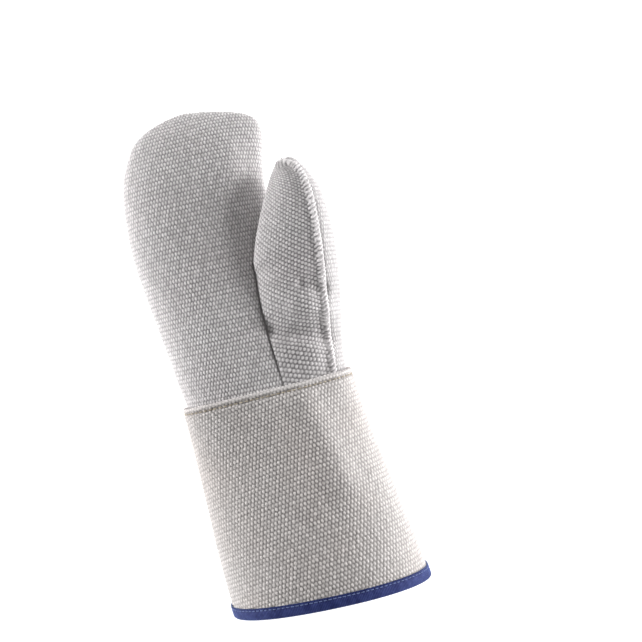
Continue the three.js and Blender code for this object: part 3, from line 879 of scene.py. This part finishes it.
# How deep in the other body a cell lies when it is left out
BURIED = 1.2
HAND_WEAVE = (hand_warp, hand_unwarp)
THUMB_WEAVE = (thumb_warp, thumb_unwarp)
CUFF_WEAVE = (cuff_warp, cuff_unwarp)


def panel(cloth, surface, pitch, per, weave, relief, sign, flip, holder=None, tall=FLOAT_TALL):
    """Woven outer face of one panel, left out where it would lie inside the holder."""
    points, shown, tone, cells = woven(surface, pitch, per, weave, relief, sign, tall)
    if holder:
        cells &= ~four(holder.holds(points, BURIED))
    cloth.skin(shown, cells, tone, flip=flip)


palm = Cloth()
palm_skin = Surface(hand_rows, palm_line)
panel(palm, palm_skin, HAND_PITCH, (4, 4), HAND_WEAVE, plain_relief, 1, False, thumb_body)
lining(palm, "palm_panel")
finish_piece(palm.build("palm_panel_cloth", [hand_cloth]), "hand_cloth", "palm_panel")

thumb = Cloth()
thumb_skin = Surface(thumb_rows, thumb_line)
panel(
    thumb, thumb_skin, THUMB_PITCH, (5, 5), THUMB_WEAVE, thumb_relief, 1, False,
    tall=THUMB_FLOAT_TALL,
)
lining(thumb, "thumb_panel")
finish_piece(thumb.build("thumb_panel_cloth", [hand_cloth]), "hand_cloth", "thumb_panel")

# Back of the hand and of the thumb
back = Cloth()
hand_back = Surface(hand_rows, hand_back_line)
panel(back, hand_back, HAND_PITCH, (4, 3), HAND_WEAVE, plain_relief, -1, True, thumb_body)
thumb_back = Surface(thumb_rows, thumb_back_line)
panel(back, thumb_back, HAND_PITCH, (4, 4), HAND_WEAVE, strip_relief, 1, False, hand_body)
lining(back, "back_panel")
# Thread that closes the side seam, within the cloth
SEAM_THREAD_IN = 1.6
SEAM_THREAD_RADIUS = 0.6
seam_y = np.concatenate([hand_rows[:-1], hand_rows[::-1]])
seam_side = np.array([LEFT] * (len(hand_rows) - 1) + [RIGHT] * len(hand_rows))
seam_rows = np.array([hand_at(y) for y in seam_y])
seam_x = seam_rows[np.arange(len(seam_y)), seam_side]
seam_z = np.where(seam_side == LEFT, seam_rows[:, LEFT_Z], seam_rows[:, RIGHT_Z])
seam_path = np.stack([seam_x, seam_y, seam_z], 1)[(seam_side == LEFT) | (seam_y > FORK_Y)]
forward = np.gradient(seam_path, axis=0)
inward = np.stack([forward[:, 1], -forward[:, 0], np.zeros(len(forward))], 1)
inward /= np.linalg.norm(inward, axis=1, keepdims=True)
seam_path = (seam_path + inward * SEAM_THREAD_IN)[::2]
tube(back, seam_path, SEAM_THREAD_RADIUS, tone=0.6, taper=False)
finish_piece(back.build("back_panel_cloth", [hand_cloth]), "hand_cloth", "back_panel")

# Cuff: a rounded fold at the top edge, then the flared length. Bands along it: distance down
# from the top edge, width, and rise above the cuff's own surface
cuff_length = CUFF_TOP_Y - CUFF_HEM_Y
FOLD_RADIUS = CUFF_WALL / 2
STITCH_DOWN = 4.6
CUFF_BANDS = ((2.0, 1.3, 0.55), (STITCH_DOWN, 1.1, -1.0), (7.2, 1.6, 0.35))
CUFF_FADE = 1.6
# Painted shade in the stitching groove: pitch of the stitches' pull and its width
PULL_PITCH = 3.9
GROOVE_WIDTH = 0.9
# Rolled edge, flattened and given a painted highlight: how far down and how wide
ROLL_DOWN, ROLL_WIDTH = 1.6, 1.6
profile = []
for degrees in range(0, 180, 20):
    a = math.radians(degrees)
    down = FOLD_RADIUS - FOLD_RADIUS * math.sin(a)
    profile.append((down, -FOLD_RADIUS - FOLD_RADIUS * math.cos(a)))
for down in np.linspace(FOLD_RADIUS, cuff_length, 177):
    rise = sum(high * math.exp(-(((down - at) / wide) ** 2)) for at, wide, high in CUFF_BANDS)
    profile.append((down, rise))
inner_profile = [(down, -CUFF_WALL) for down in np.linspace(FOLD_RADIUS, cuff_length, 40)]
# The turned-in edge, sewn down on the hand
turned_profile = [(STITCH_DOWN - 0.4, 0.1 - CUFF_WALL), (STITCH_DOWN, -5.0)]
TURNED_TONE = 0.5


def cuff_relief(height, start_gap, end_gap, along, points):
    """Weave darkened along the stitching as painted shade and flattened on the rolled edge."""
    keep = np.clip(np.minimum(start_gap, end_gap) / CUFF_FADE, 0, 1)
    down = CUFF_TOP_Y + TOP_SKEW * points[..., 0] - points[..., 1]
    pull = 0.6 + 0.4 * np.cos(2 * math.pi * points[..., 0] / PULL_PITCH)
    groove = pull * hump(down - STITCH_DOWN, GROOVE_WIDTH)
    roll = hump(down - ROLL_DOWN, ROLL_WIDTH)
    # Float height as painted shade and highlight; darker near the side seams; painted shade in
    # the groove, painted highlight on the roll
    tone = height * (0.35 + 0.65 * keep) * (1 - 0.65 * groove)
    return (height - LEVEL) * RELIEF * keep * (1 - 0.5 * roll), tone + 0.35 * roll * (1 - tone)


def sew(cloth, line, run, span, sink, tone, centre, points, bow, low, radius):
    """One stitch over a span of a line, bowed away from the centre and sunk into the cloth."""
    path = points_at(line, run, np.linspace(*span, points))
    middle = path.mean(0)
    out = middle - np.array([centre[0], middle[1], centre[1]])
    out /= np.linalg.norm(out)
    arch = np.sin(np.linspace(0, math.pi, points)) * bow - low
    tube(cloth, path + out * (arch[:, None] - sink), radius, tone=tone, mark=THREAD)


cuff = Cloth()
for upper, per, sign in ((True, (4, 4), -1), (False, (3, 3), 1)):
    def side_line(item):
        return cuff_line(item, upper)

    skin = Surface(cuff_rows(profile), side_line)
    _, shown, tone, cells = woven(skin, CUFF_PITCH, per, CUFF_WEAVE, cuff_relief, sign)
    cuff.skin(shown, cells, tone, flip=upper)
    cuff.whole(even_rows(cuff_rows(inner_profile), side_line), PLAIN_TONE, flip=not upper)
    cuff.whole(even_rows(cuff_rows(turned_profile), side_line), TURNED_TONE, flip=not upper)

# Topstitching below the folded edge, its stitches more or less drawn in. A stitch: x and z of
# the centre, points, height of its bow, how low its ends lie, and radius
TOP_STITCH = {"centre": (0, 32.0), "points": 6, "bow": 0.35, "low": 0.15, "radius": 0.42}
TOP_STITCH_GROW = -0.35
TOP_STITCH_LONG, TOP_STITCH_VARY, TOP_STITCH_PITCH = 2.3, 0.9, 4.0
TOP_STITCH_ROOM = 3.4
SIDE_ROOM = 1.0
share = STITCH_DOWN / cuff_length
for upper in (True, False):
    line, run, _, end, _ = cuff_line((share, 0.0, TOP_STITCH_GROW), upper)
    at = SIDE_ROOM
    while at + TOP_STITCH_ROOM < end - SIDE_ROOM:
        chance = hash01(at, share)
        span = (at, at + TOP_STITCH_LONG + TOP_STITCH_VARY * chance)
        # The deeper a stitch is sunk, the darker it is drawn: painted shade
        sew(cuff, line, run, span, 0.2 * chance, 0.9 - 0.5 * chance, **TOP_STITCH)
        at += TOP_STITCH_PITCH
finish_piece(cuff.build("cuff_cloth", [cuff_cloth, seam_thread]), "cuff_cloth", "cuff")

# Hem tape: folded round the hem, ribbed, stitched near its upper edge. Its profile gives the
# distance up from the hem and the growth over the cuff's own surface
TAPE_PROFILE = [
    (7.4, 0.35), (7.5, 0.8), (7.35, 1.25), (7.0, 1.45), (6.4, 1.5), (5.7, 1.5), (5.0, 1.5),
    (4.0, 1.5), (3.0, 1.5), (2.0, 1.5), (1.0, 1.5), (0.2, 1.45), (-0.6, 1.2), (-1.2, 0.6),
    (-1.5, -0.2), (-1.5, -1.2), (-1.5, -2.2), (-1.2, -3.0), (-0.6, -3.6), (0.2, -3.85),
    (2.0, -3.9), (4.0, -3.9), (6.0, -3.9), (7.0, -3.85), (7.35, -3.6), (7.5, -3.2), (7.4, -2.75),
]
TAPE_CENTRE = (3.0, 38.0)
TAPE_POINTS = 1320
POINTS_PER_RIB = 4
RIB_HEIGHT = 0.2
# Ribs and their tone are weaker inside; the upper edge, this far up and more, is black: painted
# shadow of the tape's fold
INNER_SHARE = 0.4
FOLD_SHADOW_UP = 7.2
TAPE_STITCH_UP, TAPE_STITCH_GROW = 5.8, 1.3
TAPE_GROOVE_WIDTH, TAPE_GROOVE_DEPTH = 0.8, 0.35
TAPE_STITCH = {"centre": TAPE_CENTRE, "points": 5, "bow": 0.25, "low": 0.1, "radius": 0.3}
TAPE_STITCH_LONG, TAPE_STITCH_PITCH, TAPE_STITCH_ROOM = 2.6, 3.4, 3.0


def hem_ring(up_from_hem, grow, count):
    """Points round the cuff near its hem, and how far round each lies."""
    share = 1 - max(0.0, up_from_hem) / cuff_length
    extra = -min(0.0, up_from_hem)
    r = cuff_at(share)
    y = CUFF_TOP_Y + (CUFF_HEM_Y - CUFF_TOP_Y) * share
    line = skewed(joined(over(r, y, grow), under(r, y, grow)[::-1]), share, extra)
    run = lengths(line)
    s = np.linspace(0, run[-1], count, endpoint=False)
    return points_at(line, run, s), s


tape = Cloth()
rings, tones = [], []
rib = 0.5 + 0.5 * np.cos(np.arange(TAPE_POINTS) * (2 * math.pi / POINTS_PER_RIB))
for up_from_hem, grow in TAPE_PROFILE:
    ring, _ = hem_ring(up_from_hem, grow, TAPE_POINTS)
    away = (up_from_hem - TAPE_STITCH_UP) / TAPE_GROOVE_WIDTH
    strength, groove = (1.0, math.exp(-(away**2))) if grow > 0 else (INNER_SHARE, 0)
    out = ring - np.array([TAPE_CENTRE[0], 0, TAPE_CENTRE[1]])
    out[:, 1] = 0
    out /= np.linalg.norm(out, axis=1, keepdims=True)
    lift = (rib - 0.5) * RIB_HEIGHT * strength - TAPE_GROOVE_DEPTH * groove
    rings.append(ring + out * lift[:, None])
    # Painted shadow of the fold along the upper edge; tone lighter on rib crests, with painted
    # shade between ribs and in the stitching groove
    edge = 0.0 if up_from_hem > FOLD_SHADOW_UP else 1.0
    tones.append((0.35 + 0.55 * rib * strength - 0.2 * groove) * edge)
rings, tones = np.array(rings), np.array(tones)
rings = np.concatenate([rings, rings[:, :1]], 1)
tones = np.concatenate([tones, tones[:, :1]], 1)
tape.whole(rings, tones)
ring, run = hem_ring(TAPE_STITCH_UP, TAPE_STITCH_GROW, 4000)
at = 0.0
while at + TAPE_STITCH_ROOM < run[-1]:
    sew(tape, ring, run, (at, at + TAPE_STITCH_LONG), 0, 0.9, **TAPE_STITCH)
    at += TAPE_STITCH_PITCH
finish_piece(tape.build("hem_tape_cloth", [tape_cloth, tape_thread]), "hem_tape", "hem_binding")

# Floor: white, lit a little from within
FLOOR_SIZE = 8
WHITE = (1, 1, 1, 1)
FLOOR_LOOK = {
    "Base Color": (0.9, 0.9, 0.9, 1), "Roughness": 0.9, "Emission Color": WHITE,
    "Emission Strength": 0.75,
}
bpy.ops.mesh.primitive_plane_add(size=FLOOR_SIZE, location=(0, 0, 0))
floor = bpy.context.object
floor.name = "floor"
floor_material = bpy.data.materials.new("floor")
floor_material.use_nodes = True
for key, value in FLOOR_LOOK.items():
    floor_material.node_tree.nodes["Principled BSDF"].inputs[key].default_value = value
floor.data.materials.append(floor_material)

# Light: dim overhead, bright round the horizon, with a soft key from the picture's right
ROLL = math.radians(15)
PICTURE_RIGHT = Vector((math.cos(ROLL), -math.sin(ROLL), 0))
PICTURE_UP = Vector((math.sin(ROLL), math.cos(ROLL), 0))
# Strength of the surroundings at the horizon and from a height of 0.5 up
SKY_FALL = {"From Min": 0.0, "From Max": 0.5, "To Min": 1.5, "To Max": 0.26}
world = bpy.data.worlds.new("studio")
bpy.context.scene.world = world
world.use_nodes = True
nodes, links = world.node_tree.nodes, world.node_tree.links
background = nodes["Background"]
where = nodes.new("ShaderNodeTexCoord")
split = nodes.new("ShaderNodeSeparateXYZ")
links.new(where.outputs["Generated"], split.inputs["Vector"])
fall = nodes.new("ShaderNodeMapRange")
for key, value in SKY_FALL.items():
    fall.inputs[key].default_value = value
links.new(split.outputs["Z"], fall.inputs["Value"])
links.new(fall.outputs["Result"], background.inputs["Strength"])
background.inputs["Color"].default_value = WHITE


def soft_light(name, position, size, power, target):
    data = bpy.data.lights.new(name, "AREA")
    data.shape = "RECTANGLE"
    data.size, data.size_y = size
    data.energy = power
    obj = bpy.data.objects.new(name, data)
    bpy.context.scene.collection.objects.link(obj)
    obj.location = position
    obj.rotation_euler = (Vector(target) - Vector(position)).to_track_quat("-Z", "Y").to_euler()


LIGHT_TARGET = (0, 0, 0.035)
LIGHTS = (
    # name, right, up, height, width, tallness, power
    ("left", -1.2, 0.0, 0.24, 1.4, 0.25, 17),
    ("right", 1.2, 0.0, 0.19, 1.4, 0.3, 12),
    ("key", 1.05, 0.56, 0.55, 0.35, 0.35, 8),
)
for name, right, up, height, wide, tall, power in LIGHTS:
    position = PICTURE_RIGHT * right + PICTURE_UP * up + Vector((0, 0, height))
    soft_light(name, position, (wide, tall), power, LIGHT_TARGET)

# Camera straight above the photographed point, rolled so that the mitten leans left: its
# height, and the width seen at a given distance
DISTANCE = 0.930
SPAN = 0.4764
SPAN_DISTANCE = 0.895
SENSOR_WIDTH = 36
PHOTOGRAPHED_POINT = np.array([46.4, 15.5, 0.0])
camera_data = bpy.data.cameras.new("camera")
camera_data.sensor_width = SENSOR_WIDTH
camera_data.lens = SENSOR_WIDTH * SPAN_DISTANCE / SPAN
camera = bpy.data.objects.new("camera", camera_data)
bpy.context.scene.collection.objects.link(camera)
spot = place(PHOTOGRAPHED_POINT)
turned = Matrix((PICTURE_RIGHT, PICTURE_UP, Vector((0, 0, 1)))).transposed()
camera.matrix_world = Matrix.Translation((spot[0], spot[1], DISTANCE)) @ turned.to_4x4()
bpy.context.scene.camera = camera
bpy.context.scene.view_settings.view_transform = "Standard"
